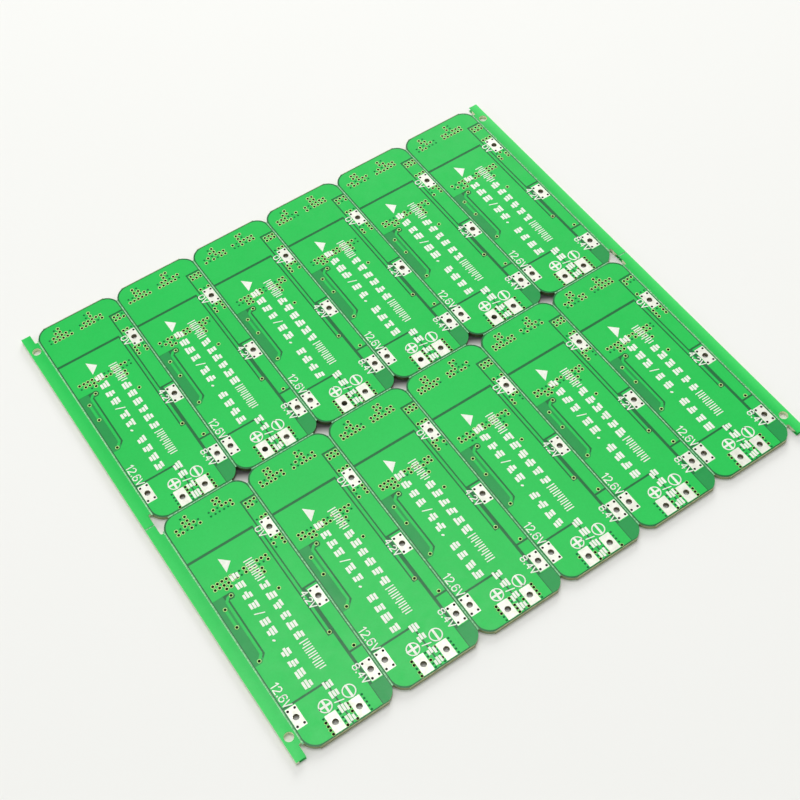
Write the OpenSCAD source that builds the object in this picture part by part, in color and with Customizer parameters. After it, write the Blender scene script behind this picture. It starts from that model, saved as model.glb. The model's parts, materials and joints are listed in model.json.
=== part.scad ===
// Scored panel of bare battery protection boards, side by side and end to end, with a break-away rail
// along each side. One laminate carries all the boards. Etched copper and plated terminals sit on it, and a
// film of solder mask covers both faces.
// The panel lies flat. X runs across the boards from rail to rail, Y runs along them from the output end to
// the cell-negative end, and Z is up from the underside. The origin is under the panel's centre.

/* [Panel] */
// Boards side by side, between the rails
columns = 6; // [1:1:8]
// Boards end to end
rows = 2; // [1:1:3]
// Width of one board
board_w = 20; // [19:0.5:26]
// Length of one board
board_l = 59; // [57:0.5:70]
// Radius of a board's corners
corner_r = 3.5; // [2.8:0.1:4.5]
// Width of each break-away rail
rail_w = 3; // [2.6:0.1:8]
// Finished thickness, from mask to mask
thickness = 1; // [0.8:0.1:2]

/* [Routing and scoring] */
// Width of a score line at the surface
score_w = 0.3; // [0.2:0.05:0.5]
// Depth of a score line, cut from each face
score_depth = 0.35; // [0.2:0.01:0.39]
// Reach of a corner opening along each score line
opening_reach = 2.35; // [1.5:0.05:2.7]
// Depth of the relief slot in the rail beside a corner opening
relief_depth = 0.8; // [0.4:0.05:1]
// Reach of the relief slot along the rail, each way from the corner
relief_reach = 2.8; // [2.4:0.1:4]
// Radius in the relief slot's corners
relief_r = 0.35; // [0.1:0.05:0.39]
// Diameter of the tooling holes on the rails' centre lines
tooling_d = 2; // [1:0.1:2.2]
// Distance of the tooling holes from the panel's ends
tooling_end = 5; // [4:0.5:20]

/* [Films] */
// Thickness of the copper foil
copper_t = 0.035; // [0.018:0.001:0.07]
// Thickness of the solder mask
mask_t = 0.025; // [0.015:0.001:0.04]
// Thickness of the plating in every hole
plating_t = 0.05; // [0.02:0.01:0.08]

/* [Terminals] */
// Width of a cell tap's land
tap_w = 2.34; // [2.2:0.02:2.6]
// Length of a cell tap's land
tap_l = 4.6; // [4:0.1:5]
// Distance of a tap's centre from the board's long edge
tap_inset = 1.62; // [1.6:0.01:1.9]
// Distance of the first taps from the output end
tap_end = 7.5; // [7.2:0.1:8]
// Distance of the last tap from the cell-negative end
tap_far = 13.9; // [13.5:0.1:14.5]
// Bore for a cell wire
tap_bore = 1.3; // [0.8:0.1:1.4]
// Bore of the small stitching holes in a tap's corners
stitch_bore = 0.35; // [0.2:0.01:0.4]
// Spacing of the stitching holes across the tap
stitch_x = 1.55; // [1.4:0.05:1.6]
// Spacing of the stitching holes along the tap
stitch_y = 3.55; // [2.8:0.05:3.6]
// Width of an output land
output_w = 2.45; // [2.2:0.05:2.8]
// Length of an output land
output_l = 4.1; // [3.6:0.1:4.6]
// Distance of an output land's centre from the output end
output_end = 2.5; // [2.45:0.05:2.8]
// Distance of the outputs' middle from the board's centre line, to the left
output_off = 0.125; // [0:0.025:0.5]
// Distance between the two outputs
output_pitch = 5.35; // [5.3:0.05:5.8]
// Bore for an output wire
output_bore = 1.3; // [0.8:0.1:1.4]
// Radius of a land's corners
land_r = 0.12; // [0.05:0.01:0.25]

/* [Copper] */
// Distance of the copper from a board's edges
edge_clear = 0.4; // [0.25:0.05:0.5]
// Width of the narrow channels along the board
channel_w = 0.37; // [0.25:0.01:0.45]
// Width of the narrow channels across the board
cross_channel_w = 0.5; // [0.3:0.02:0.6]
// Width of the main channel across the board
main_channel_w = 0.65; // [0.4:0.05:0.9]
// Width of the channel beside the tap areas
tap_channel_w = 0.7; // [0.4:0.05:0.8]
// Width of the sense tracks
track_w = 0.54; // [0.3:0.02:0.6]
// Diameter of the pad at the end of a track
track_pad = 0.9; // [0.8:0.02:1]
// Depth of the switch area, from the cell-negative end
switch_depth = 11.66; // [9:0.02:12]
// Width of the cell-negative strip
strip_w = 3; // [2.95:0.05:3.2]
// Distance of the cell-negative strip from the cell-negative end
strip_end = 5.9; // [5.7:0.1:6.2]
// Width of the tap areas
tap_area_w = 2.5; // [2.42:0.02:2.7]
// Distance of the rails' copper from their edges
rail_clear = 0.3; // [0.2:0.05:0.4]

/* [Hidden] */
$fn = 48;
panel_w = columns * board_w + 2 * rail_w;
panel_l = rows * board_l;
film_t = copper_t + mask_t;
core_t = thickness - 2 * film_t;
core_top = thickness - film_t;
overcut = 1;

// The copper's limits on one board, from its lower left corner
copper_r = board_w - edge_clear;
strip_l = copper_r - strip_w;
sense_r = strip_l - channel_w;
sense_l = sense_r - track_w;
field_r = sense_l - channel_w;
tap_area_l = copper_r - tap_area_w;
tap_field_r = tap_area_l - tap_channel_w;
strip_top = board_l - strip_end;
switch_y = board_l - switch_depth;
field_top = switch_y - main_channel_w;

// Taps and outputs. The taps lie one cell's diameter apart.
tap_right = board_w - tap_inset;
tap_pitch = (board_l - tap_end - tap_far) / 2;
tap_y = [for (k = [0:2]) tap_end + k * tap_pitch];
tap_spots = concat([[tap_inset, tap_y[0]]], [for (y = tap_y) [tap_right, y]]);
output_x = board_w / 2 - output_off - output_pitch / 2;
output_spots = [for (k = [0:1]) [output_x + k * output_pitch, output_end]];
// How far each tap's copper area reaches past the middle of its land
low_area_reach = 2.75;
high_area_reach = 4.97;
high_area_bottom = tap_y[0] - tap_l / 2 - edge_clear / 2;
positive_r = output_x + output_pitch / 2 - channel_w / 2;
positive_top = tap_y[0] + tap_l / 2 + cross_channel_w / 4;
negative_l = positive_r + channel_w;
negative_y = positive_top + cross_channel_w;

// The bare window beside the field, with the sense tracks in it
field_above = 9.73;
field_below = 9.975;
window_r = 3.46;
window_y = [negative_y + field_below, field_top - field_above];
notch_r = 4.89;
notch_y = window_y[1] - 1.55;
sense_end_y = window_y[0] - 1.97;
sense_floor = sense_end_y - track_pad / 2 - channel_w / 2;
long_top = window_y[1] - 0.76;
long_bottom = window_y[0] + 0.68;
long_bend = 0.74;
long_x = 2.76;
long_end_x = 1.64;
long_turn = long_x - long_end_x;
long_track = [[4.19, long_top], [long_x + long_bend, long_top], [long_x, long_top - long_bend],
    [long_x, long_bottom + long_turn], [long_end_x, long_bottom]];
// The window's corners are cut at 45 degrees, so that its edge follows the track
notch_cut = 0.4;
window_cut = window_r - long_end_x + long_bottom - window_y[0] - sqrt(2) * (window_r - long_x);
short_track = [for (part = [5 / 6, 5 / 9]) [1.67, window_y[0] + part * (window_y[1] - window_y[0])]];

// Places of a tap's stitching holes, from the middle of its land
stitches = [for (x = [-1, 1], y = [-1, 1]) [x * stitch_x / 2, y * stitch_y / 2]];

// Places each child once on every board, from the board's lower left corner
module each_board() {
    for (i = [0:columns - 1], j = [0:rows - 1])
        translate([(i - columns / 2) * board_w, (j - rows / 2) * board_l, 0]) children();
}

// Places each child on both rails, with X from the rail's inner edge outwards
module each_rail() {
    for (side = [0, 1])
        mirror([side, 0, 0]) translate([columns * board_w / 2, 0, 0]) children();
}

// Places each child on every score line between two rows of boards
module each_cross_score() {
    if (rows > 1) for (j = [1:rows - 1]) translate([0, (j - rows / 2) * board_l, 0]) children();
}

// A layer of flat film that starts at height z
module layer(z, t) {
    translate([0, 0, z]) linear_extrude(t) children();
}

module bar(x0, x1, y0, y1, grow = 0) {
    translate([x0 - grow, y0 - grow]) square([x1 - x0 + 2 * grow, y1 - y0 + 2 * grow]);
}

module rounded_bar(x0, x1, y0, y1, r) {
    bar(x0 + r, x1 - r, y0, y1);
    bar(x0, x1, y0 + r, y1 - r);
    for (x = [x0 + r, x1 - r], y = [y0 + r, y1 - r]) translate([x, y]) circle(r);
}

module drills(spots, d) {
    for (p = spots) translate(p) circle(d = d);
}

// The four-arc opening that is left where rounded corners meet, with its tips cut short
module corner_opening() {
    difference() {
        square(2 * opening_reach, center = true);
        for (x = [-1, 1], y = [-1, 1]) translate([x, y] * corner_r) circle(corner_r);
    }
}

module relief_slot(grow = 0) {
    rounded_bar(-relief_depth - grow, relief_depth + grow, -relief_reach - grow, relief_reach + grow, relief_r);
}

// One board's outline, cut back from the score lines by half their width
module board_plan(back) {
    difference() {
        bar(0, board_w, 0, board_l, -back);
        for (x = [0, board_w], y = [0, board_l]) translate([x, y]) corner_opening();
    }
}

// One rail's outline from its inner edge at X 0, clear of the score lines and cut back all round
module rail_plan(back) {
    difference() {
        bar(score_w / 2, rail_w, -panel_l / 2, panel_l / 2, -back);
        for (j = [0:rows]) translate([0, (j - rows / 2) * board_l]) relief_slot(back);
        each_cross_score() bar(0, rail_w, 0, 0, back + score_w / 2);
        for (y = [-1, 1] * (panel_l / 2 - tooling_end)) translate([rail_w / 2, y]) circle(tooling_d / 2 + back);
    }
}

// The copper areas of one board, drawn larger by grow for the film that covers them
module copper_limit(grow) {
    rounded_bar(edge_clear - grow, copper_r + grow, edge_clear - grow, board_l - edge_clear + grow,
        corner_r - edge_clear + grow);
}

module track(points, grow) {
    for (k = [1:len(points) - 1]) {
        step = points[k] - points[k - 1];
        translate(points[k - 1]) rotate(atan2(step[1], step[0])) bar(0, norm(step), -track_w / 2, track_w / 2, grow);
    }
    for (end = [0, len(points) - 1]) translate(points[end]) circle(track_pad / 2 + grow);
}

module switch_area(grow) {
    intersection() {
        copper_limit(grow);
        union() {
            bar(0, board_w, strip_top + cross_channel_w, board_l, grow);
            bar(0, sense_r, switch_y, board_l, grow);
        }
    }
    bar(sense_l, sense_r, sense_end_y, switch_y + overcut, grow);
    translate([(sense_l + sense_r) / 2, sense_end_y]) circle(track_w / 2 + grow);
}

module cell_negative_area(grow) {
    bar(strip_l, copper_r, tap_y[1] + low_area_reach + cross_channel_w, strip_top, grow);
}

module low_tap_area(grow) {
    bar(tap_area_l, copper_r, tap_y[0] + high_area_reach + cross_channel_w, tap_y[1] + low_area_reach, grow);
}

module high_tap_area(grow) {
    bar(tap_area_l, copper_r, high_area_bottom, tap_y[0] + high_area_reach, grow);
}

module positive_area(grow) {
    intersection() {
        copper_limit(grow);
        bar(0, positive_r, 0, positive_top, grow);
    }
}

// Fills an inside corner at 45 degrees: the lower right one, or the upper right one after a quarter turn
module corner_fill(x, y, leg, grow, quarter = 0) {
    reach = leg + sqrt(2) * grow;
    translate([x, y]) rotate(90 * quarter)
        polygon([[-reach - channel_w / 4, -channel_w / 4], [channel_w / 4, -channel_w / 4],
            [channel_w / 4, reach + channel_w / 4]]);
}

module output_negative_area(grow) {
    corner_fill(window_r, window_y[0], window_cut, grow);
    corner_fill(notch_r, notch_y, notch_cut, grow);
    corner_fill(notch_r, window_y[1], notch_cut, grow, 1);
    bar(edge_clear, field_r, window_y[1], field_top, grow);
    bar(notch_r, field_r, notch_y, window_y[1], grow);
    bar(window_r, field_r, window_y[0], notch_y, grow);
    bar(edge_clear, field_r, sense_floor, window_y[0], grow);
    bar(edge_clear, tap_field_r, negative_y, sense_floor, grow);
    bar(negative_l, tap_field_r, edge_clear, negative_y, grow);
}

module sense_area(grow) {
    track(long_track, grow);
    track(short_track, grow);
}

module copper_areas(grow) {
    switch_area(grow);
    cell_negative_area(grow);
    low_tap_area(grow);
    high_tap_area(grow);
    positive_area(grow);
    output_negative_area(grow);
    sense_area(grow);
}

// Foil of one copper area on every board, with its holes
module foil() {
    each_board() layer(core_top, copper_t) difference() {
        children();
        lands();
    }
}

module tap_land() {
    rounded_bar(-tap_w / 2, tap_w / 2, -tap_l / 2, tap_l / 2, land_r);
}

module output_land() {
    rounded_bar(-output_w / 2, output_w / 2, -output_l / 2, output_l / 2, land_r);
}

module lands() {
    for (p = tap_spots) translate(p) tap_land();
    for (p = output_spots) translate(p) output_land();
}

// A land on each face, joined by the plating in its holes
module terminal(bore, small_spots) {
    difference() {
        union() {
            for (z = [0, core_top]) layer(z, film_t) children();
            layer(0, thickness) {
                circle(d = bore + 2 * plating_t);
                drills(small_spots, stitch_bore + 2 * plating_t);
            }
        }
        layer(-overcut, thickness + 2 * overcut) {
            circle(d = bore);
            drills(small_spots, stitch_bore);
        }
    }
}

// Every hole drilled through one board's laminate, before plating
module board_drills() {
    drills(tap_spots, tap_bore + 2 * plating_t);
    drills(output_spots, output_bore + 2 * plating_t);
    drills([for (p = tap_spots, s = stitches) p + s], stitch_bore + 2 * plating_t);
}

module panel_plan() {
    difference() {
        square([panel_w, panel_l], center = true);
        for (i = [0:columns], j = [0:rows])
            translate([(i - columns / 2) * board_w, (j - rows / 2) * board_l]) corner_opening();
        each_rail() {
            for (j = [0:rows]) translate([0, (j - rows / 2) * board_l])
                intersection() {
                    relief_slot();
                    bar(0, rail_w, -board_l / 2, board_l / 2);
                }
            for (y = [-1, 1] * (panel_l / 2 - tooling_end)) translate([rail_w / 2, y]) circle(d = tooling_d);
        }
        each_board() board_drills();
    }
}

// A score line along X, cut from both faces
module score(length) {
    rotate([90, 0, 90]) translate([0, 0, -length / 2]) linear_extrude(length)
        for (face = [0, 1]) translate([0, face * thickness]) mirror([0, face])
            polygon([[-score_w / 2, 0], [0, score_depth], [score_w / 2, 0]]);
}

module base_laminate() {
    color("tan") difference() {
        layer(film_t, core_t) panel_plan();
        for (i = [0:columns]) translate([(i - columns / 2) * board_w, 0, 0]) rotate(90) score(panel_l + overcut);
        each_cross_score() score(panel_w + overcut);
    }
}

module switch_copper() {
    color("peru") foil() switch_area(0);
}

module cell_negative_copper() {
    color("peru") foil() cell_negative_area(0);
}

module low_tap_copper() {
    color("peru") foil() low_tap_area(0);
}

module high_tap_copper() {
    color("peru") foil() high_tap_area(0);
}

module positive_copper() {
    color("peru") foil() positive_area(0);
}

module output_negative_copper() {
    color("peru") foil() output_negative_area(0);
}

module sense_tracks() {
    color("peru") foil() sense_area(0);
}

module rail_copper() {
    color("peru") each_rail() layer(core_top, copper_t) rail_plan(rail_clear);
}

module tap_terminals() {
    color("whitesmoke") each_board() for (p = tap_spots) translate(p) terminal(tap_bore, stitches) tap_land();
}

module output_terminals() {
    color("whitesmoke") each_board() for (p = output_spots) translate(p) terminal(output_bore, []) output_land();
}

// Film over the copper and the bare laminate of one board: it stands higher over the copper
module board_mask() {
    difference() {
        layer(core_top, film_t) difference() {
            board_plan(score_w / 2);
            lands();
        }
        layer(core_top - overcut, copper_t + overcut) copper_areas(0);
        layer(core_top + mask_t, copper_t + overcut) difference() {
            bar(0, board_w, 0, board_l, overcut);
            copper_areas(mask_t);
        }
    }
}

module rail_mask() {
    difference() {
        layer(core_top, film_t) rail_plan(0);
        layer(core_top - overcut, copper_t + overcut) rail_plan(rail_clear);
    }
}

module top_mask() {
    color("mediumseagreen") {
        each_board() board_mask();
        each_rail() rail_mask();
    }
}

module bottom_mask() {
    color("seagreen") layer(0, film_t) {
        each_board() difference() {
            board_plan(score_w / 2);
            lands();
        }
        each_rail() rail_plan(0);
    }
}

base_laminate();
switch_copper();
cell_negative_copper();
low_tap_copper();
high_tap_copper();
positive_copper();
output_negative_copper();
sense_tracks();
rail_copper();
tap_terminals();
output_terminals();
top_mask();
bottom_mask();
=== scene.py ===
# %% [markdown]
# # A panel of bare battery protection boards
# The object is one thin sheet of glass-fibre laminate that carries twelve bare circuit boards, six across
# and two deep. A narrow break-away rail runs along each side. The shape that a workshop would measure comes
# from the CAD model: the laminate with its score lines, the etched copper, the plated terminals and the
# solder mask. This lesson loads that model, adds what is too fine for it (vias, torn fibres and white ink),
# gives every surface a procedural finish, and sets up a table, soft light and a camera.

# %% Load the frame
import json
import math
import random

import bpy
from mathutils import Matrix, Vector


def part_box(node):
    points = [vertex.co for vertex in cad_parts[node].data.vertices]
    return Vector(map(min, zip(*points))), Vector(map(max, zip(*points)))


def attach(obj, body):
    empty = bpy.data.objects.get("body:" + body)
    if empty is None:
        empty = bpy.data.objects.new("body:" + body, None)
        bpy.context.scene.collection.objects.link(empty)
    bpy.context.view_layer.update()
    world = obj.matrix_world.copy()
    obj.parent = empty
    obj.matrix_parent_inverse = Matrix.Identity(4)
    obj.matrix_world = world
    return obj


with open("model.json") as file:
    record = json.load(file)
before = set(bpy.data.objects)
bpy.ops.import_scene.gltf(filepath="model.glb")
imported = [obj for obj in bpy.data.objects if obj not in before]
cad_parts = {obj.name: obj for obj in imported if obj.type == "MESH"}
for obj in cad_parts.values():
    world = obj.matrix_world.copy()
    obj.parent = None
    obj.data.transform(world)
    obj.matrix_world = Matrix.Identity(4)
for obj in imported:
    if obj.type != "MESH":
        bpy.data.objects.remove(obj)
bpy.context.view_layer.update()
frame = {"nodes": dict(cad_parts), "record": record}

nodes = frame["nodes"]
print("CAD pieces:", ", ".join(sorted(nodes)))

# %% [markdown]
# ## The grid of boards
# All twelve boards are printed from the same artwork, so every mark is described once, in millimetres from
# a board's own lower left corner, and then repeated on the grid. The laminate's box gives the panel's size,
# and taking off the two rails leaves six boards by two. Working in millimetres keeps the numbers readable.
# Blender itself works in metres, so one factor turns them over when a mesh is made.

# %% The grid of boards
MM = 0.001
COLUMNS = 6
ROWS = 2
RAIL_W = 3.0

low_corner, high_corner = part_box("base_laminate")
PANEL_W = (high_corner.x - low_corner.x) / MM
PANEL_L = (high_corner.y - low_corner.y) / MM
BOARD_W = (PANEL_W - 2 * RAIL_W) / COLUMNS
BOARD_L = PANEL_L / ROWS
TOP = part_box("top_mask")[1].z / MM


def column_x(column):
    """The left edge of a column of boards, in millimetres."""
    return (column - COLUMNS / 2) * BOARD_W


def row_y(row):
    """The near edge of a row of boards, in millimetres."""
    return (row - ROWS / 2) * BOARD_L


def board_origins():
    """Yields each board's row and its lower left corner."""
    for column in range(COLUMNS):
        for row in range(ROWS):
            yield row, column_x(column), row_y(row)


print("one board in mm:", round(BOARD_W, 3), "by", round(BOARD_L, 3), "and its face is at", round(TOP, 3))

# %% [markdown]
# ## Meshes from flat outlines
# Ink is a thin layer with straight sides, and a via's ring is a small turned shape. Both can be built from
# a list of corners and a list of faces. The class below collects such shapes and makes one mesh of them,
# which is far quicker than one object for each mark. A prism is an outline pulled up; a turned shape is a
# profile swept around an upright axis.

# %% Meshes from flat outlines
def circle(centre, radius, steps):
    """The corners of a round outline, anticlockwise."""
    angles = [2 * math.pi * k / steps for k in range(steps)]
    return [(centre[0] + radius * math.cos(a), centre[1] + radius * math.sin(a)) for a in angles]


class ShapeList:
    """Collects small closed solids, in millimetres, for one mesh."""

    def __init__(self):
        self.corners = []
        self.faces = []
        self.smooth = []

    def add(self, face, smooth):
        self.faces.append(tuple(face))
        self.smooth.append(smooth)

    def prism(self, outline, low, high):
        """Adds a flat outline as a solid between two heights."""
        following = outline[1:] + outline[:1]
        area = sum(a[0] * b[1] - b[0] * a[1] for a, b in zip(outline, following))
        if area < 0:
            outline = outline[::-1]
        count = len(outline)
        first = len(self.corners)
        self.corners += [(x, y, low) for x, y in outline]
        self.corners += [(x, y, high) for x, y in outline]
        self.add(range(first + count, first + 2 * count), False)
        self.add(range(first + count - 1, first - 1, -1), False)
        for k in range(count):
            a = first + k
            b = first + (k + 1) % count
            self.add((a, b, b + count, a + count), False)

    def turned(self, centre, profile, steps, ring=False):
        """Turns a profile of (radius, height) pairs that starts at the low outer edge and runs inwards.

        A ring joins the last pair to the first. Any other shape is closed with flat caps.
        """
        first = len(self.corners)
        for radius, height in profile:
            self.corners += [(x, y, height) for x, y in circle(centre, radius, steps)]
        bands = len(profile) if ring else len(profile) - 1
        for band in range(bands):
            outer = first + band * steps
            inner = first + ((band + 1) % len(profile)) * steps
            for k in range(steps):
                turn = (k + 1) % steps
                self.add((outer + k, outer + turn, inner + turn, inner + k), True)
        if not ring:
            last = first + bands * steps
            self.add(range(last, last + steps), False)
            self.add(range(first + steps - 1, first - 1, -1), False)

    def build(self, name, material):
        """Makes the mesh and its object, and hangs it on the model's body."""
        mesh = bpy.data.meshes.new(name)
        mesh.from_pydata([(x * MM, y * MM, z * MM) for x, y, z in self.corners], [], self.faces)
        mesh.polygons.foreach_set("use_smooth", self.smooth)
        mesh.materials.append(material)
        mesh.update()
        piece = bpy.data.objects.new(name, mesh)
        bpy.context.scene.collection.objects.link(piece)
        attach(piece, "root")
        print(name, "has", len(self.faces), "faces")


print("shape helpers are ready")

# %% [markdown]
# ## A material and its nodes
# A material in Blender is a tree of nodes. Each finish here starts with one Principled shader, which can
# stand for lacquer, metal or ink, and with a Texture Coordinate node, which tells where on the object the
# shaded point lies. The helpers only save typing: they add a node, set or link its sockets, and return
# what comes out of it.

# %% A material and its nodes
class PlainFinish:
    """One material's node tree, with short ways to set and link sockets."""

    def __init__(self, name):
        self.material = bpy.data.materials.new(name)
        self.material.use_nodes = True
        self.tree = self.material.node_tree
        self.tree.nodes.clear()
        out = self.tree.nodes.new("ShaderNodeOutputMaterial")
        self.skin = self.tree.nodes.new("ShaderNodeBsdfPrincipled")
        self.link(self.skin.outputs["BSDF"], out.inputs["Surface"])
        self.place = self.tree.nodes.new("ShaderNodeTexCoord").outputs["Object"]

    def link(self, source, target):
        self.tree.links.new(source, target)

    def feed(self, socket, value):
        """Gives a socket a number, a colour or another socket's output."""
        if isinstance(value, bpy.types.NodeSocket):
            self.link(value, socket)
        elif isinstance(value, tuple) and len(value) == 3 and socket.type == "RGBA":
            socket.default_value = (*value, 1.0)
        else:
            socket.default_value = value

    def set(self, **values):
        """Sets sockets of the Principled shader by name."""
        for key, value in values.items():
            self.feed(self.skin.inputs[key.replace("_", " ")], value)

    def math(self, operation, first, second=0.0):
        node = self.tree.nodes.new("ShaderNodeMath")
        node.operation = operation
        self.feed(node.inputs[0], first)
        self.feed(node.inputs[1], second)
        return node.outputs[0]

    def mix(self, factor, first, second, blend="MIX"):
        """Mixes two colours. The numbers are the places of the colour sockets on Blender's Mix node."""
        node = self.tree.nodes.new("ShaderNodeMix")
        node.data_type = "RGBA"
        node.blend_type = blend
        self.feed(node.inputs[0], factor)
        self.feed(node.inputs[6], first)
        self.feed(node.inputs[7], second)
        return node.outputs[2]


print("material helpers are ready")

# %% [markdown]
# ## A kit for procedural finishes
# Every finish is computed from the position of the point that is shaded, so nothing needs unwrapping and no
# picture is loaded. Positions are in metres, which is why the noise scales look large: a scale of 1000
# gives spots of about one millimetre. Noise mostly stays between 0.3 and 0.7, so these are the usual ends
# of a ramp.

# %% A kit for procedural finishes
SPOT_LOW = 0.3
SPOT_HIGH = 0.7


class Finish(PlainFinish):
    """A finish that follows the position on the object."""

    def noise(self, scale, detail, stretch=None):
        """Soft random spots; stretch scales the three axes first."""
        tex = self.tree.nodes.new("ShaderNodeTexNoise")
        tex.inputs["Scale"].default_value = scale
        tex.inputs["Detail"].default_value = detail
        source = self.place
        if stretch:
            mapping = self.tree.nodes.new("ShaderNodeMapping")
            mapping.inputs["Scale"].default_value = stretch
            self.link(self.place, mapping.inputs["Vector"])
            source = mapping.outputs["Vector"]
        self.link(source, tex.inputs["Vector"])
        return tex.outputs["Fac"]

    def ramp(self, factor, stops):
        """A colour ramp from (position, colour) pairs."""
        node = self.tree.nodes.new("ShaderNodeValToRGB")
        band = node.color_ramp
        while len(band.elements) < len(stops):
            band.elements.new(0.5)
        for element, (position, colour) in zip(band.elements, stops):
            element.position = position
            element.color = (*colour, 1.0)
        self.link(factor, node.inputs["Fac"])
        return node.outputs["Color"]

    def shades(self, factor, dark, light, high=SPOT_HIGH):
        """Two shades, one for the low and one for the high spots of a noise."""
        return self.ramp(factor, [(SPOT_LOW, dark), (high, light)])

    def between(self, value, low, high, out_low=0.0, out_high=1.0):
        """Maps a value from one range to another, and stops at the ends."""
        node = self.tree.nodes.new("ShaderNodeMapRange")
        self.feed(node.inputs["Value"], value)
        node.inputs["From Min"].default_value = low
        node.inputs["From Max"].default_value = high
        node.inputs["To Min"].default_value = out_low
        node.inputs["To Max"].default_value = out_high
        return node.outputs["Result"]

    def uneven(self, factor, low, high):
        """A number that wanders between two values with a noise."""
        return self.between(factor, SPOT_LOW, SPOT_HIGH, low, high)

    def within(self, value, low, high):
        """1 between two limits and 0 elsewhere."""
        above = self.math("GREATER_THAN", value, low)
        return self.math("MULTIPLY", above, self.math("LESS_THAN", value, high))

    def axis(self, name, source=None):
        """One coordinate of a vector, the object's position if none is given."""
        node = self.tree.nodes.new("ShaderNodeSeparateXYZ")
        self.link(source or self.place, node.inputs["Vector"])
        return node.outputs[name]

    def mm(self, name):
        """One coordinate of the object's position, in millimetres."""
        return self.math("DIVIDE", self.axis(name), MM)

    def level(self):
        """1 on a level face and 0 on an upright wall."""
        geometry = self.tree.nodes.new("ShaderNodeNewGeometry")
        return self.math("ABSOLUTE", self.axis("Z", geometry.outputs["True Normal"]))

    def bump(self, height, strength, depth):
        """Roughens the surface by a noise that is depth millimetres high."""
        node = self.tree.nodes.new("ShaderNodeBump")
        node.inputs["Strength"].default_value = strength
        node.inputs["Distance"].default_value = depth * MM
        self.link(height, node.inputs["Height"])
        self.link(node.outputs["Normal"], self.skin.inputs["Normal"])


print("finish helpers are ready")

# %% [markdown]
# ## The colours of the solder mask
# Solder mask is a satin film of coloured lacquer. Over copper it looks bright, because the metal throws the
# light back through it; over bare laminate the light is lost and the same film looks dark. The CAD film
# really stands higher over the copper, by the foil's thickness, so the height of a point tells which of the
# two lies below it. That draws every channel and track exactly where the model has it, with no picture at
# all. Two wide areas without copper are lighter than the narrow channels. Towards the rails' outer edges the
# film is painted a lighter green, a painted glow that stands in for light, stronger on the side of the lamp.

# %% The colours of the solder mask
FILM_LOW = TOP - 0.028
FILM_HIGH = TOP - 0.010
MASK_OVER_COPPER = (0.006, 0.535, 0.078)
MASK_IN_CHANNELS = (0.004, 0.140, 0.036)
MASK_IN_WINDOWS = (0.006, 0.300, 0.062)
# Painted light: the lighter green of the glow towards the rails' outer edges
MASK_PAINTED_GLOW = (0.050, 0.690, 0.135)

# The two wide areas on each board, as low and high x, then low and high y
TRACK_WINDOW = (0.35, 2.65, 20.3, 37.0)
OUTPUT_WINDOW = (16.6, 19.7, 0.3, 4.9)

# Width of the painted glow, and its strength at the right and the left rail
PAINTED_GLOW_W = 2.2
PAINTED_GLOW_RIGHT = 1.0
PAINTED_GLOW_LEFT = 0.5


def in_window(finish, window):
    """1 in one rectangle of every board and 0 elsewhere."""
    x_low, x_high, y_low, y_high = window
    across = finish.math("FLOORED_MODULO", finish.mm("X"), BOARD_W)
    along = finish.math("FLOORED_MODULO", finish.mm("Y"), BOARD_L)
    in_width = finish.within(across, x_low, x_high)
    return finish.math("MULTIPLY", in_width, finish.within(along, y_low, y_high))


def painted_edge_glow(finish):
    """A painted glow that rises from 0 towards the rails' outer edges."""
    across = finish.mm("X")
    outer = PANEL_W / 2
    right = finish.between(across, outer - PAINTED_GLOW_W, outer, 0.0, PAINTED_GLOW_RIGHT)
    left = finish.between(across, PAINTED_GLOW_W - outer, -outer, 0.0, PAINTED_GLOW_LEFT)
    return finish.math("ADD", right, left)


def upper_colour(finish):
    """The film on the printed face, coloured by its own relief, with a painted glow towards the rails."""
    raised = finish.between(finish.axis("Z"), FILM_LOW * MM, FILM_HIGH * MM)
    windows = finish.math("MAXIMUM", in_window(finish, TRACK_WINDOW), in_window(finish, OUTPUT_WINDOW))
    bare = finish.mix(windows, MASK_IN_CHANNELS, MASK_IN_WINDOWS)
    copper_with_painted_glow = finish.mix(painted_edge_glow(finish), MASK_OVER_COPPER, MASK_PAINTED_GLOW)
    return finish.mix(raised, bare, copper_with_painted_glow)


print("the film is bare below", round(FILM_LOW, 3), "mm and over copper above", round(FILM_HIGH, 3), "mm")

# %% [markdown]
# ## Solder mask
# The lacquer is printed and baked, so it is smooth but not perfect: faint clouds, a fine grain and a satin
# gloss that changes a little from place to place. These could be painted, but noise gives them at every
# scale and never repeats. The lower film is plain and gets two close greens.

# %% Solder mask
UNDER_LIGHT = (0.026, 0.50, 0.095)
UNDER_DARK = (0.022, 0.44, 0.085)
CLOUD = (0.93, 0.95, 0.93)
GRAIN = (0.92, 0.95, 0.92)
UNTOUCHED = (1.0, 1.0, 1.0)


def lower_colour(finish):
    """The plain film on the underside, in soft patches."""
    patches = finish.between(finish.noise(scale=60, detail=3), low=0.35, high=0.65)
    return finish.mix(patches, UNDER_DARK, UNDER_LIGHT)


def lacquer(name, colour_of):
    """A satin film of lacquer over a colour."""
    finish = Finish(name)
    colour = colour_of(finish)
    clouds = finish.shades(finish.noise(scale=45, detail=3), CLOUD, UNTOUCHED)
    colour = finish.mix(1.0, colour, clouds, "MULTIPLY")
    grains = finish.shades(finish.noise(scale=2600, detail=2), GRAIN, UNTOUCHED)
    colour = finish.mix(1.0, colour, grains, "MULTIPLY")
    finish.set(Base_Color=colour, Specular_IOR_Level=0.26)
    finish.set(Roughness=finish.uneven(finish.noise(scale=500, detail=3), low=0.28, high=0.36))
    finish.bump(finish.noise(scale=1400, detail=3), strength=0.12, depth=0.03)
    return finish.material


top_mask_finish = lacquer("top mask", upper_colour)
under_mask_finish = lacquer("underside mask", lower_colour)
print("mask finishes:", top_mask_finish.name, "and", under_mask_finish.name)
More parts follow.
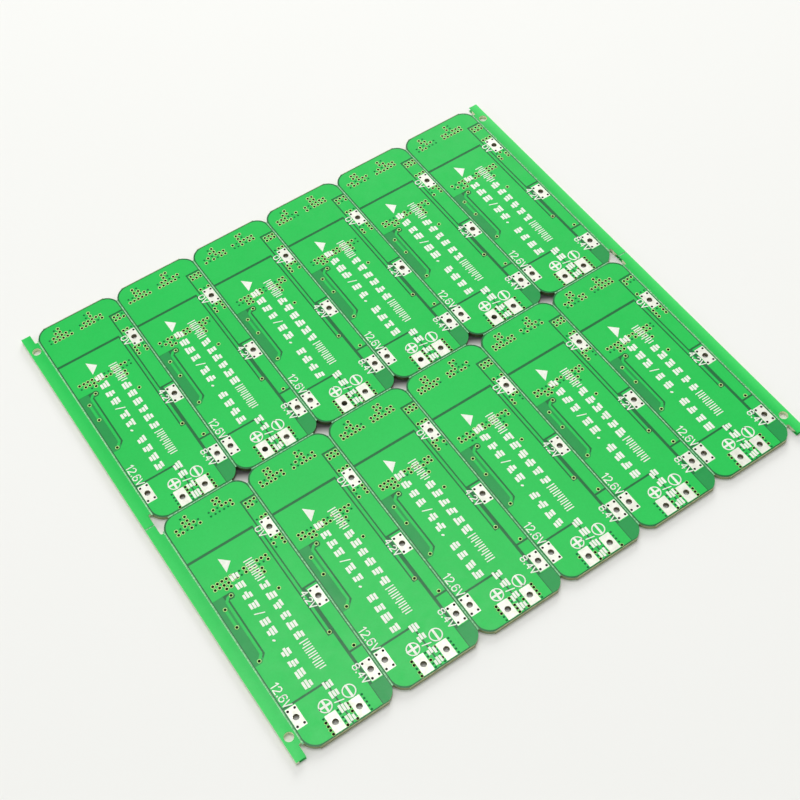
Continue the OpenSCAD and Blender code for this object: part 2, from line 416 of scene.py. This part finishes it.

# %% [markdown]
# ## Laminate
# The sheet is woven glass in resin. Where a blade has scored it the torn fibres scatter light and look pale,
# in the score lines. The sawn faces of the rails get a pale colour, partly the laminate's own and partly
# painted light, as if lit from the side; the milled edges of the boards are olive and show their plies, and
# are darker by painted shade. The walls of the openings in the middle of the panel get a near-black painted
# shade. The slope of a face and its place tell them apart, because groove walls lean and edges stand
# upright, so one material does for the whole sheet.

# %% Laminate
GROOVE_SLOPE = (0.2, 0.8)
TORN = [(0.32, (0.22, 0.52, 0.25)), (0.5, (0.50, 0.86, 0.52)), (0.68, (0.80, 0.98, 0.78))]
# Pale rail faces: partly the laminate's own colour, partly painted light
SAWN_AND_PAINTED_LIGHT = ((0.66, 0.76, 0.46), (0.88, 0.95, 0.70))
# Darker board edges: partly their own olive, partly painted shade
MILLED_AND_PAINTED_SHADE = ((0.20, 0.23, 0.10), (0.40, 0.43, 0.22))
# Near-black painted shade for the walls of the inner openings
PAINTED_WALL_SHADE = ((0.05, 0.06, 0.02), (0.12, 0.14, 0.06))
PLY_STRETCH = (1.0, 1.0, 14.0)

# Half the size, along y and along x, of the area that holds the inner openings
INNER_REACH = 4.0
INNER_SPAN = 45.0


def laminate_finish():
    finish = Finish("glass laminate")
    groove = finish.within(finish.level(), *GROOVE_SLOPE)
    threads = finish.noise(scale=2600, detail=2)
    plies = finish.noise(scale=900, detail=2, stretch=PLY_STRETCH)
    beside = finish.math("ABSOLUTE", finish.mm("X"))
    beyond = finish.math("ABSOLUTE", finish.mm("Y"))
    near_middle = finish.math("LESS_THAN", beyond, INNER_REACH)
    inner = finish.math("MULTIPLY", near_middle, finish.math("LESS_THAN", beside, INNER_SPAN))
    on_rail = finish.math("GREATER_THAN", beside, PANEL_W / 2 - RAIL_W)
    # Painted shade on the inner openings' walls and board edges, painted light on the rails' faces
    edge = finish.mix(inner, finish.shades(plies, *MILLED_AND_PAINTED_SHADE), finish.shades(plies, *PAINTED_WALL_SHADE))
    edge = finish.mix(on_rail, edge, finish.shades(plies, *SAWN_AND_PAINTED_LIGHT))
    finish.set(Base_Color=finish.mix(groove, edge, finish.ramp(threads, TORN)), Roughness=0.62)
    finish.bump(threads, strength=0.25, depth=0.04)
    return finish.material


laminate = laminate_finish()
print("finish of the sheet:", laminate.name)

# %% [markdown]
# ## Copper and tin
# Copper lies hidden below the mask. The lands are tinned by hot air, so they are bright and a little uneven.
# Upright walls, as in the wire holes, are dull tin darkened by painted shade, as holes go dark with depth.
# Pure metal would mirror the bright sky and burn out to white, so the tin is only partly metallic, and only
# on its level faces.

# %% Copper and tin
COPPER = ((0.55, 0.25, 0.12), (0.80, 0.42, 0.24))
TIN_BRIGHT = ((0.64, 0.65, 0.565), (0.74, 0.75, 0.665))
# Upright walls: dull tin with painted shade
TIN_DULL_AND_PAINTED_SHADE = ((0.130, 0.120, 0.060), (0.300, 0.285, 0.170))
TIN_METALLIC = 0.30


def copper_finish():
    finish = Finish("copper foil")
    finish.set(Base_Color=finish.shades(finish.noise(scale=700, detail=4), *COPPER), Metallic=1.0)
    finish.set(Roughness=finish.uneven(finish.noise(scale=1500, detail=2), low=0.3, high=0.45))
    return finish.material


def tin_finish():
    finish = Finish("levelled tin")
    flat = finish.math("GREATER_THAN", finish.level(), 0.5)
    bright = finish.shades(finish.noise(scale=900, detail=3), *TIN_BRIGHT, high=0.65)
    # Upright walls get dull tin darkened by painted shade
    dull_and_painted_shade = finish.shades(finish.noise(scale=1800, detail=3), *TIN_DULL_AND_PAINTED_SHADE)
    finish.set(Base_Color=finish.mix(flat, dull_and_painted_shade, bright))
    finish.set(Metallic=finish.math("MULTIPLY", flat, TIN_METALLIC))
    finish.set(Roughness=finish.uneven(finish.noise(scale=1200, detail=2), low=0.34, high=0.48))
    finish.set(Specular_IOR_Level=0.35)
    finish.bump(finish.noise(scale=800, detail=2), strength=0.25, depth=0.08)
    return finish.material


copper = copper_finish()
tin = tin_finish()
print("metal finishes:", copper.name, "and", tin.name)

# %% [markdown]
# ## Dressing the CAD pieces
# Each CAD piece keeps its shape and only gets a finish. The record names a slot for every piece, and the
# slot chooses the material, so all the copper shares one finish and all the tin another. The two films
# differ: the upper one reads its own relief, and the plain lower one doesn't need to.

# %% Dressing the CAD pieces
finish_of_slot = {"glass_laminate": laminate, "copper_foil": copper, "tinned_copper": tin}
finish_of_film = {"top_mask": top_mask_finish, "bottom_mask": under_mask_finish}
for subpart in frame["record"]["subparts"]:
    node = subpart["node"]
    material = finish_of_film.get(node) or finish_of_slot[subpart["material_slot"]]
    nodes[node].data.materials.clear()
    nodes[node].data.materials.append(material)
    print(node, "is finished as", material.name)

# %% [markdown]
# ## Where the vias are
# A via is a small plated hole that ties the copper of both faces together. Where a board must carry a large
# current they stand in rows, about a millimetre apart: under the transistors, across the middle of the
# board, beside the cell-negative strip and beside the output lands. The plan below lists them once for one
# board. Seven single vias stand apart, some of them at the ends of the sense tracks.

# %% Where the vias are
VIA_PITCH = 1.016

# Under each transistor: the middle of the group, its top row, and how many vias each row has
TRANSISTOR_X = (4.70, 12.33)
TRANSISTOR_Y = 57.06
TRANSISTOR_ROWS = (2, 2, 6, 6)

# Across the middle: the first via, and which columns each row fills
MIDDLE_X = 2.15
MIDDLE_Y = 39.94
MIDDLE_ROWS = (range(13), range(13), (2, 3, 9, 10), (9, 10))

# Beside the strip: three columns in some rows, and only the outer two in others
STRIP_X = (19.16, 18.15, 17.13)
STRIP_FULL_Y = (52.58, 51.56, 47.95, 42.3)
STRIP_PAIR_Y = (41.3, 40.3)

# Beside each output land: a column of five on either side
LAND_X = (7.2, 12.55)
LAND_Y = 2.45
LAND_SIDE = 1.605
LAND_PITCH = 0.88
LAND_COUNT = 5

SINGLE_VIAS = [(12.82, 32.14), (15.97, 18.43), (18.38, 13.4), (4.19, 36.2),
               (1.64, 21.08), (1.67, 34.2), (1.67, 29.6)]


def via_plan():
    """Every via of one board that stands in a row, as (x, y), in millimetres."""
    spots = []
    for centre in TRANSISTOR_X:
        for row, count in enumerate(TRANSISTOR_ROWS):
            for k in range(count):
                spots.append((centre + (k - (count - 1) / 2) * VIA_PITCH, TRANSISTOR_Y - row * VIA_PITCH))
    for row, columns in enumerate(MIDDLE_ROWS):
        spots += [(MIDDLE_X + k * VIA_PITCH, MIDDLE_Y - row * VIA_PITCH) for k in columns]
    spots += [(x, y) for y in STRIP_FULL_Y for x in STRIP_X]
    spots += [(x, y) for y in STRIP_PAIR_Y for x in (STRIP_X[0], STRIP_X[2])]
    for land in LAND_X:
        for side in (-LAND_SIDE, LAND_SIDE):
            for k in range(LAND_COUNT):
                spots.append((land + side, LAND_Y + (k - (LAND_COUNT - 1) / 2) * LAND_PITCH))
    return spots


via_spots = via_plan()
print("vias on one board:", len(via_spots) + len(SINGLE_VIAS))

# %% [markdown]
# ## Finishes for the vias
# On a real panel the mask runs into some of the small holes and skins them over, while others stay open. An
# open one shows a pale tinned rim round a black hole, and that black is painted shade on a dark core; a
# filled one is only a faint dark dot. Each of the three gets a plain finish with a little noise, because at
# this size nothing more would show.

# %% Finishes for the vias
RIM_SHADES = ((0.40, 0.72, 0.18), (0.64, 0.90, 0.34))
# Near-black painted shade for the inside of a hole
HOLE_PAINTED_SHADE = ((0.003, 0.004, 0.002), (0.016, 0.018, 0.008))
PLUG_SHADES = ((0.004, 0.11, 0.032), (0.008, 0.19, 0.050))


def via_finish(name, scale, shades, **skin):
    """Two shades in fine spots, and the other values of the shader."""
    finish = Finish(name)
    finish.set(Base_Color=finish.shades(finish.noise(scale, detail=2), *shades), **skin)
    return finish.material


rim = via_finish("via rim", 3000, RIM_SHADES, Roughness=0.34)
hole = via_finish("via hole", 4000, HOLE_PAINTED_SHADE, Roughness=0.8, Specular_IOR_Level=0.1)
plug = via_finish("filled via", 3000, PLUG_SHADES, Roughness=0.6, Specular_IOR_Level=0.1)
print("via finishes:", rim.name, hole.name, plug.name)

# %% [markdown]
# ## Open and filled vias
# Which vias stay open differs from board to board, so a seeded random number decides, and also moves each
# one a little, as a drill does. The rims are small turned rings, let into the mask and one or two hundredths
# of a millimetre proud of it, because light catches them at their edge. The four stitching holes round each
# cell tap are bored in the CAD model, and only get the dark core of an open via, a painted shade in the
# hole.

# %% Open and filled vias
SEED = 11
VIA_STEPS = 14
VIA_WANDER = 0.03
VIA_LOW = TOP - 0.045

# A ring rises from its outer edge to its bore; a hole's core and a filled via's dot lie lower
HOLE_R = 0.30
RIM_R = 0.45
OUTPUT_RIM_R = 0.39
RIM_SLOPE = 0.01
BORE_SLOPE = 0.02
RIM_OUTER = TOP + 0.012
RIM_INNER = TOP + 0.016
CORE_OVERLAP = 0.005
CORE_TOP = TOP + 0.003
PLUG_PROFILE = [(0.27, VIA_LOW), (0.25, TOP + 0.002), (0.10, TOP + 0.004)]

# The share of open vias: beside the outputs, row by row, beside the strip's far end, and elsewhere
OUTPUT_SHARE = (0.40, 0.80)
OUTPUT_END = 6
STRIP_SHARE = 0.92
STRIP_START = 50
STRIP_SIDE = 17
OPEN_SHARE = 0.74

TAP_SPOTS = [(1.62, 7.5), (18.38, 7.5), (18.38, 26.3), (18.38, 45.1)]
STITCH_X = 0.775
STITCH_Y = 1.775
STITCH_R = 0.27

rims = ShapeList()
hole_shade_cores = ShapeList()
plugs = ShapeList()
chance = random.Random(SEED)


def open_share(row, x, y):
    """The share of vias that stay open at this place on a board."""
    if y < OUTPUT_END:
        return OUTPUT_SHARE[row]
    if y > STRIP_START and x > STRIP_SIDE:
        return STRIP_SHARE
    return OPEN_SHARE


# Painted shade: a near-black solid that fills a hole where only shade would be
def painted_shade_core(centre, radius):
    hole_shade_cores.turned(centre, [(radius, VIA_LOW), (radius, CORE_TOP)], VIA_STEPS)


def open_via(centre, radius):
    """A tinned rim round a dark core of painted shade."""
    outside = [(radius, VIA_LOW), (radius - RIM_SLOPE, RIM_OUTER)]
    inside = [(HOLE_R + BORE_SLOPE, RIM_INNER), (HOLE_R, VIA_LOW)]
    rims.turned(centre, outside + inside, VIA_STEPS, ring=True)
    painted_shade_core(centre, HOLE_R + CORE_OVERLAP)


for row, x0, y0 in board_origins():
    for number, (x, y) in enumerate(via_spots + SINGLE_VIAS):
        single = number >= len(via_spots)
        via_x = x0 + x + chance.uniform(-VIA_WANDER, VIA_WANDER)
        via_y = y0 + y + chance.uniform(-VIA_WANDER, VIA_WANDER)
        if single or chance.random() < open_share(row, x, y):
            open_via((via_x, via_y), OUTPUT_RIM_R if y < OUTPUT_END else RIM_R)
        else:
            plugs.turned((via_x, via_y), PLUG_PROFILE, VIA_STEPS)
for _, x0, y0 in board_origins():
    for x, y in TAP_SPOTS:
        for dx in (-STITCH_X, STITCH_X):
            for dy in (-STITCH_Y, STITCH_Y):
                painted_shade_core((x0 + x + dx, y0 + y + dy), STITCH_R)
rims.build("via_rims", rim)
hole_shade_cores.build("via_hole_shades", hole)
plugs.build("filled_vias", plug)

# %% [markdown]
# ## Torn fibres in the score lines
# A score line is cut with a spinning blade, and the blade leaves a pale fringe of torn glass in the groove.
# From above it shows as a light thread between two dark bands. Single fibres would be far too many, so the
# fringe is a narrow strip that sags to the middle of the groove and fills it below. Its heights wander a
# little along the way, so the thread looks broken and dotted.

# %% Torn fibres in the score lines
FRINGE_W = 0.33
FRINGE_STEP = 0.35
FRINGE_SIDE = TOP - 0.055
FRINGE_MIDDLE = TOP - 0.085
FRINGE_ROOT = TOP - 0.19
FRINGE_WANDER = 0.05
FRINGE_SHADES = [(0.3, (0.11, 0.42, 0.18)), (0.5, (0.24, 0.61, 0.31)), (0.7, (0.42, 0.76, 0.47))]

# How far a strip stays away from a board's corners, where the openings are, and from a rail's inner side
OPENING = 2.35
RAIL_RELIEF = 0.8

fringe_finish = Finish("torn fibres")
fringe_colour = fringe_finish.ramp(fringe_finish.noise(scale=2600, detail=2), FRINGE_SHADES)
fringe_finish.set(Base_Color=fringe_colour, Roughness=0.7, Specular_IOR_Level=0.2)
fringe = ShapeList()


def fringe_strip(start, end):
    """A sagging strip along one score line, with four corners at each step."""
    length = math.hypot(end[0] - start[0], end[1] - start[1])
    along = ((end[0] - start[0]) / length, (end[1] - start[1]) / length)
    aside = (-along[1] * FRINGE_W / 2, along[0] * FRINGE_W / 2)
    steps = max(1, round(length / FRINGE_STEP))
    first = len(fringe.corners)
    for k in range(steps + 1):
        x = start[0] + along[0] * length * k / steps
        y = start[1] + along[1] * length * k / steps
        fringe.corners.append((x - aside[0], y - aside[1], FRINGE_SIDE))
        fringe.corners.append((x, y, FRINGE_MIDDLE - chance.uniform(0.0, FRINGE_WANDER)))
        fringe.corners.append((x + aside[0], y + aside[1], FRINGE_SIDE))
        fringe.corners.append((x, y, FRINGE_ROOT))
    for here in range(first, first + 4 * steps, 4):
        for side in range(4):
            a = here + side
            b = here + (side + 1) % 4
            fringe.add((a, a + 4, b + 4, b), False)
    last = first + 4 * steps
    fringe.add(range(first, first + 4), False)
    fringe.add(range(last + 3, last - 1, -1), False)


for column in range(COLUMNS + 1):
    x = column_x(column)
    for row in range(ROWS):
        fringe_strip((x, row_y(row) + OPENING), (x, row_y(row) + BOARD_L - OPENING))
for row in range(1, ROWS):
    y = row_y(row)
    for column in range(COLUMNS):
        fringe_strip((column_x(column) + OPENING, y), (column_x(column) + BOARD_W - OPENING, y))
    for side in (-1, 1):
        fringe_strip((side * (column_x(COLUMNS) + RAIL_RELIEF), y), (side * PANEL_W / 2, y))
fringe.build("torn_fibres", fringe_finish.material)

# %% [markdown]
# ## White ink
# The legend is printed last, as white epoxy ink through a screen. Its lines are about a quarter of a
# millimetre wide and stand one to three hundredths above the mask. A curve with a bevel could draw them, but
# its ends and heights are hard to control, so each line is a narrow prism with a round dot at every corner,
# the way a plotter's pen draws. The prisms start below the mask's face, so they also cover the channels
# they cross.

# %% White ink
INK_LOW = TOP - 0.04
INK_HIGH = TOP + 0.014
INK_STEP = 0.002
INK_STEPS = 7
STROKE = 0.23
DOT_SIDES = 10
INK_SHADES = ((0.72, 0.77, 0.66), (0.83, 0.85, 0.77))

ink = Finish("legend ink")
ink.set(Base_Color=ink.shades(ink.noise(scale=1500, detail=3), *INK_SHADES, high=0.6), Roughness=0.58)
ink.bump(ink.noise(scale=2500, detail=2), strength=0.2, depth=0.03)

marks = ShapeList()


def ink_top():
    """A height for the next mark. Marks that cross differ a little, as ink on ink does."""
    return INK_HIGH + INK_STEP * (len(marks.faces) % INK_STEPS)


def pen_line(points, width):
    """Draws a line of the pen through the points."""
    half = width / 2
    for (ax, ay), (bx, by) in zip(points, points[1:]):
        length = math.hypot(bx - ax, by - ay)
        nx = -(by - ay) / length * half
        ny = (bx - ax) / length * half
        run = [(ax + nx, ay + ny), (ax - nx, ay - ny), (bx - nx, by - ny), (bx + nx, by + ny)]
        marks.prism(run, INK_LOW, ink_top())
    for point in points:
        marks.prism(circle(point, half, DOT_SIDES), INK_LOW, ink_top())


def box_mark(x_low, x_high, y_low, y_high):
    """Prints a filled rectangle."""
    outline = [(x_low, y_low), (x_high, y_low), (x_high, y_high), (x_low, y_high)]
    marks.prism(outline, INK_LOW, ink_top())


print("the pen draws lines", STROKE, "mm wide")

# %% [markdown]
# ## Voltages beside the taps
# Beside each cell tap stands the voltage of the cells up to there, as on any board for three cells in a
# row. A text object could give them, but its letters are filled outlines and not strokes of one width.
# Here the pen writes: each letter is a few straight runs on a grid one unit high. The labels read down the
# board, with their heads to the right, so a small function turns them round.

# %% Voltages beside the taps
LETTER_GAP = 0.26

# Each letter has its width and the corners of its one line
LETTERS = {
    "0": (0.62, [(0.16, 0), (0.46, 0), (0.62, 0.18), (0.62, 0.82), (0.46, 1), (0.16, 1), (0, 0.82),
                 (0, 0.18), (0.16, 0)]),
    "1": (0.34, [(0, 0.78), (0.26, 1), (0.26, 0)]),
    "2": (0.62, [(0, 0.8), (0.16, 1), (0.46, 1), (0.62, 0.82), (0.62, 0.62), (0, 0), (0.62, 0)]),
    "4": (0.62, [(0.46, 0), (0.46, 1), (0, 0.32), (0.62, 0.32)]),
    "6": (0.62, [(0.58, 0.86), (0.46, 1), (0.16, 1), (0, 0.82), (0, 0.18), (0.16, 0), (0.46, 0),
                 (0.62, 0.18), (0.62, 0.4), (0.46, 0.56), (0.16, 0.56), (0, 0.42)]),
    "8": (0.62, [(0.16, 0.54), (0, 0.7), (0, 0.84), (0.16, 1), (0.46, 1), (0.62, 0.84), (0.62, 0.7),
                 (0.46, 0.54), (0.16, 0.54), (0, 0.38), (0, 0.16), (0.16, 0), (0.46, 0), (0.62, 0.16),
                 (0.62, 0.38), (0.46, 0.54)]),
    "V": (0.66, [(0, 1), (0.33, 0), (0.66, 1)]),
    ".": (0.12, [(0.04, 0.02), (0.1, 0.02), (0.1, 0.1), (0.04, 0.1)]),
}

# Each label with its low and high x, and the y where it starts and ends
TAP_LABELS = [
    ("12.6V", 0.55, 2.45, 15.55, 10.0),
    ("0V", 15.5, 17.1, 46.5, 43.8),
    ("4.2V", 15.5, 17.1, 28.8, 24.5),
    ("8.4V", 15.5, 17.1, 10.05, 5.55),
]


def write_down(text, x_low, x_high, y_start, y_end):
    """Writes a label from y_start down to y_end, with its feet at x_low and its heads at x_high."""
    inner = STROKE / 2
    height = x_high - x_low - 2 * inner
    advance = sum(LETTERS[letter][0] for letter in text) + LETTER_GAP * (len(text) - 1)
    along = (y_start - y_end - 2 * inner) / advance
    at = 0.0
    for letter in text:
        width, line = LETTERS[letter]
        points = [(x_low + inner + v * height, y_start - inner - (at + u) * along) for u, v in line]
        pen_line(points, STROKE)
        at += width + LETTER_GAP


print("labels:", [label[0] for label in TAP_LABELS])

# %% [markdown]
# ## Signs
# A plus and a minus in a circle mark the output, and a solid triangle points at the transistors. The circle
# is a turned ring, like a via's rim, and the cross is two thick lines of the pen.

# %% Signs
SIGN_R = 1.42
SIGN_Y = 6.16
PLUS_X = 7.25
MINUS_X = 12.58
SIGN_STROKE = 0.26
CROSS_STROKE = 0.48
CROSS_MARGIN = 0.2
SIGN_STEPS = 40
POINTER = [(6.0, 44.75), (6.0, 41.1), (7.95, 42.92)]


def round_sign(x, y, plus):
    """A ring with a line in it, or with a cross."""
    inner = SIGN_R - SIGN_STROKE
    profile = [(SIGN_R, INK_LOW), (SIGN_R, INK_HIGH), (inner, INK_HIGH), (inner, INK_LOW)]
    marks.turned((x, y), profile, SIGN_STEPS, ring=True)
    reach = SIGN_R - CROSS_MARGIN
    pen_line([(x, y - reach), (x, y + reach)], CROSS_STROKE)
    if plus:
        pen_line([(x - reach, y), (x + reach, y)], CROSS_STROKE)


print("each sign is", 2 * SIGN_R, "mm wide")

# %% [markdown]
# ## Plain bar marks
# Rows of plain bars run along the board. They only give the panel its pattern of white on green, so a
# rectangle is enough for each. A seeded random number trims their ends, so that no two blocks are alike.

# %% Plain bar marks
SLIT = 0.14
BARS = 3
TRIM_START = 0.3
TRIM_END = 0.22
TRIM_NARROW = 0.6

# Thin pairs of bars: low and high x, the first y, the step, how many and the length of one
NARROW_FAR = (9.87, 11.84, 41.2, 1.14, 5, 0.86)
NARROW_NEAR = (9.87, 11.84, 19.8, 1.19, 6, 0.88)

# Blocks of bars: low and high x, the length of one and the y where each starts
RIGHT_BLOCKS = (9.9, 11.8, 1.9, [35.2 - k * 2.56 for k in range(6)])
LEFT_BLOCKS = (5.9, 7.8, 1.95, (40.6, 38.0, 35.4, 32.85, 28.6, 26.0, 20.7, 18.1, 15.5, 12.9))
OUTPUT_BLOCKS = (9.1, 10.9, 1.9, (10.7, 8.3, 4.95, 2.5))

# Short lines of the pen between the blocks, with their widths
LEFT_SLASH = ((5.9, 30.0), (7.8, 29.3), STROKE)
LEFT_DOT = ((6.1, 23.2), (6.3, 23.0), 0.4)
OUTPUT_SLASH = ((9.1, 5.75), (10.9, 5.35), STROKE)


def narrow_row(x0, y0, row):
    """A row of thin pairs of bars."""
    x_low, x_high, y_first, step, count, length = row
    for k in range(count):
        start = y0 + y_first - k * step
        box_mark(x0 + x_low, x0 + x_high, start - STROKE, start)
        trim = chance.uniform(0.0, TRIM_NARROW)
        box_mark(x0 + x_low + trim, x0 + x_high, start - length, start - length + STROKE)


def block_row(x0, y0, row):
    """A row of blocks of three bars of uneven length."""
    x_low, x_high, length, starts = row
    bar = (x_high - x_low - (BARS - 1) * SLIT) / BARS
    for start in starts:
        for k in range(BARS):
            x = x0 + x_low + k * (bar + SLIT)
            high = y0 + start - chance.uniform(0.0, TRIM_START) * length
            low = y0 + start - length + chance.uniform(0.0, TRIM_END) * length
            box_mark(x, x + bar, low, high)


def short_line(x0, y0, line):
    start, end, width = line
    pen_line([(x0 + start[0], y0 + start[1]), (x0 + end[0], y0 + end[1])], width)


block_rows = (RIGHT_BLOCKS, LEFT_BLOCKS, OUTPUT_BLOCKS)
print("blocks of bars on one board:", sum(len(starts) for *_, starts in block_rows))

# %% [markdown]
# ## Printing the boards
# The same marks go on all twelve boards, board by board, into one mesh. The order matters for the random
# trims, which are drawn as the bars are printed, and for the small steps in height where marks cross.

# %% Printing the boards
for _, x0, y0 in board_origins():
    round_sign(x0 + PLUS_X, y0 + SIGN_Y, True)
    round_sign(x0 + MINUS_X, y0 + SIGN_Y, False)
    marks.prism([(x0 + x, y0 + y) for x, y in POINTER], INK_LOW, INK_HIGH)
    for text, x_low, x_high, y_start, y_end in TAP_LABELS:
        write_down(text, x0 + x_low, x0 + x_high, y0 + y_start, y0 + y_end)
    narrow_row(x0, y0, NARROW_FAR)
    block_row(x0, y0, RIGHT_BLOCKS)
    narrow_row(x0, y0, NARROW_NEAR)
    block_row(x0, y0, LEFT_BLOCKS)
    short_line(x0, y0, LEFT_SLASH)
    short_line(x0, y0, LEFT_DOT)
    block_row(x0, y0, OUTPUT_BLOCKS)
    short_line(x0, y0, OUTPUT_SLASH)
marks.build("legend_ink", ink.material)

# %% [markdown]
# ## The table
# The panel lies on a plain white table. The table's own colour makes the background, and its slight
# unevenness keeps it from looking empty. It stands a hair below the panel, so the two faces don't fight for
# the same place and a thin contact shadow shows along the near edges. A real panel this thin bows a little,
# so little light gets below its middle, and the table looks dark through the openings there. The model is
# flat, so the table's colour is darker below those openings, most of all on the side that faces the lamp.

# %% The table
TABLE_REACH = 4.0
TABLE_GAP = 0.03
TABLE_SHADES = ((0.815, 0.818, 0.792), (0.828, 0.830, 0.806))
TABLE_DARK = (0.006, 0.006, 0.004)

# The shade grows from near left to far right, across and along each opening
SHADE_ACROSS = 0.52
SHADE_ALONG = 0.85
SHADE_START = -1.5
SHADE_END = 0.9
SHADE_LIGHT = 1.0
SHADE_DARK = 0.07
OPENING_HALF = 3.2


def lit_share(finish):
    """1 on the open table, and less below the inner openings."""
    across = finish.mm("X")
    along = finish.mm("Y")
    half = BOARD_W / 2
    shifted = finish.math("FLOORED_MODULO", finish.math("ADD", across, half), BOARD_W)
    from_middle = finish.math("SUBTRACT", shifted, half)
    to_right = finish.math("MULTIPLY", from_middle, SHADE_ACROSS)
    to_lamp = finish.math("ADD", to_right, finish.math("MULTIPLY", along, SHADE_ALONG))
    shade = finish.between(to_lamp, SHADE_START, SHADE_END, SHADE_LIGHT, SHADE_DARK)
    inside = finish.math("MULTIPLY", finish.within(across, -INNER_SPAN, INNER_SPAN),
                         finish.within(along, -OPENING_HALF, OPENING_HALF))
    lost = finish.math("MULTIPLY", inside, finish.math("SUBTRACT", 1.0, shade))
    return finish.math("SUBTRACT", 1.0, lost)


table_finish = Finish("white table")
table_white = table_finish.shades(table_finish.noise(scale=3, detail=3), *TABLE_SHADES)
table_colour = table_finish.mix(lit_share(table_finish), TABLE_DARK, table_white)
table_finish.set(Base_Color=table_colour, Roughness=0.8)

sides = ((-1, -1), (1, -1), (1, 1), (-1, 1))
table_corners = [(x * TABLE_REACH, y * TABLE_REACH, -TABLE_GAP * MM) for x, y in sides]
table_mesh = bpy.data.meshes.new("table")
table_mesh.from_pydata(table_corners, [], [(0, 1, 2, 3)])
table_mesh.materials.append(table_finish.material)
table = bpy.data.objects.new("table", table_mesh)
bpy.context.scene.collection.objects.link(table)
print("the table is", 2 * TABLE_REACH, "m wide")

# %% [markdown]
# ## A pale sky
# The photograph was taken under bright, even light with hardly any shadow. One large lamp would do, but it
# would leave the near side dark, so a pale sky all round does most of the work. It grows brighter towards
# the back and a little towards the right, as in a room with its window there.

# %% A pale sky
SKY_COLOUR = (1.0, 1.0, 0.99, 1.0)
SKY_FRONT = 0.25
SKY_BACK = 1.15
SKY_SIDE = 0.10
SKY_LEAST = 0.08

world = bpy.data.worlds.new("studio")
world.use_nodes = True
sky = world.node_tree
sky.nodes["Background"].inputs["Color"].default_value = SKY_COLOUR
direction = sky.nodes.new("ShaderNodeSeparateXYZ")
sky.links.new(sky.nodes.new("ShaderNodeTexCoord").outputs["Generated"], direction.inputs["Vector"])


def sky_slope(axis, at_minus, at_plus):
    """A brightness that changes evenly from one side of the room to the other."""
    slope = sky.nodes.new("ShaderNodeMapRange")
    slope.inputs["From Min"].default_value = -1.0
    slope.inputs["To Min"].default_value = at_minus
    slope.inputs["To Max"].default_value = at_plus
    sky.links.new(direction.outputs[axis], slope.inputs["Value"])
    return slope.outputs["Result"]


both = sky.nodes.new("ShaderNodeMath")
both.operation = "ADD"
sky.links.new(sky_slope("Y", SKY_FRONT, SKY_BACK), both.inputs[0])
sky.links.new(sky_slope("X", -SKY_SIDE, SKY_SIDE), both.inputs[1])
kept_up = sky.nodes.new("ShaderNodeMath")
kept_up.operation = "MAXIMUM"
kept_up.inputs[1].default_value = SKY_LEAST
sky.links.new(both.outputs[0], kept_up.inputs[0])
sky.links.new(kept_up.outputs[0], sky.nodes["Background"].inputs["Strength"])
bpy.context.scene.world = world
print("the sky's strength runs from", SKY_FRONT, "in front to", SKY_BACK, "at the back")

# %% [markdown]
# ## Soft light
# One panel at the back right throws the soft shadows to the near left. An upper panel glances off the satin
# mask towards the camera, which gives the sheen that fades from left to right, and a weak one on the left
# fills in. Their strength is set so that white renders just below white.

# %% Soft light
# Each panel's name, place and size in metres, and power in watts
LIGHT_PANELS = [
    ("back right panel", (0.80, 1.05, 0.52), 0.45, 8.0),
    ("upper panel", (0.14, 0.30, 1.13), 0.42, 3.2),
    ("left panel", (-1.2, 0.1, 0.5), 0.8, 2.5),
]


def soft_light(name, place, size, power):
    """A square light panel that faces the origin."""
    lamp = bpy.data.lights.new(name, "AREA")
    lamp.shape = "SQUARE"
    lamp.size = size
    lamp.energy = power
    holder = bpy.data.objects.new(name, lamp)
    holder.location = place
    holder.rotation_euler = (-Vector(place)).to_track_quat("-Z", "Y").to_euler()
    bpy.context.scene.collection.objects.link(holder)
    print(name, "is", round(Vector(place).length, 2), "m away")


for name, place, size, power in LIGHT_PANELS:
    soft_light(name, place, size, power)

# %% [markdown]
# ## Camera
# The camera looks down at the panel from the near left, about 56 degrees above the table, with a slight
# tilt of the head. Its place was found by matching the corners of the panel in the photograph. A camera in
# Blender looks along its own minus Z, so the three columns of its rotation are the directions to the right,
# up and back.

# %% Camera
LENS = 61.39
SENSOR_W = 36.0
NEAREST = 0.01
CAMERA_PLACE = (-86.53, -143.28, 246.06)
CAMERA_RIGHT = (0.82769, -0.56008, -0.03523)
CAMERA_FRONT = (0.28545, 0.47423, -0.83284)

camera_data = bpy.data.cameras.new("camera")
camera_data.lens = LENS
camera_data.sensor_width = SENSOR_W
camera_data.sensor_fit = "HORIZONTAL"
camera_data.clip_start = NEAREST
camera = bpy.data.objects.new("camera", camera_data)
to_right = Vector(CAMERA_RIGHT).normalized()
to_front = Vector(CAMERA_FRONT).normalized()
to_up = to_right.cross(to_front).normalized()
turn = Matrix((to_right, to_up, -to_front)).transposed()
camera.matrix_world = Matrix.Translation(Vector(CAMERA_PLACE) * MM) @ turn.to_4x4()
bpy.context.scene.collection.objects.link(camera)
bpy.context.scene.camera = camera
bpy.context.scene.view_settings.view_transform = "Standard"
print("camera height in mm:", round(camera.location.z / MM, 1))
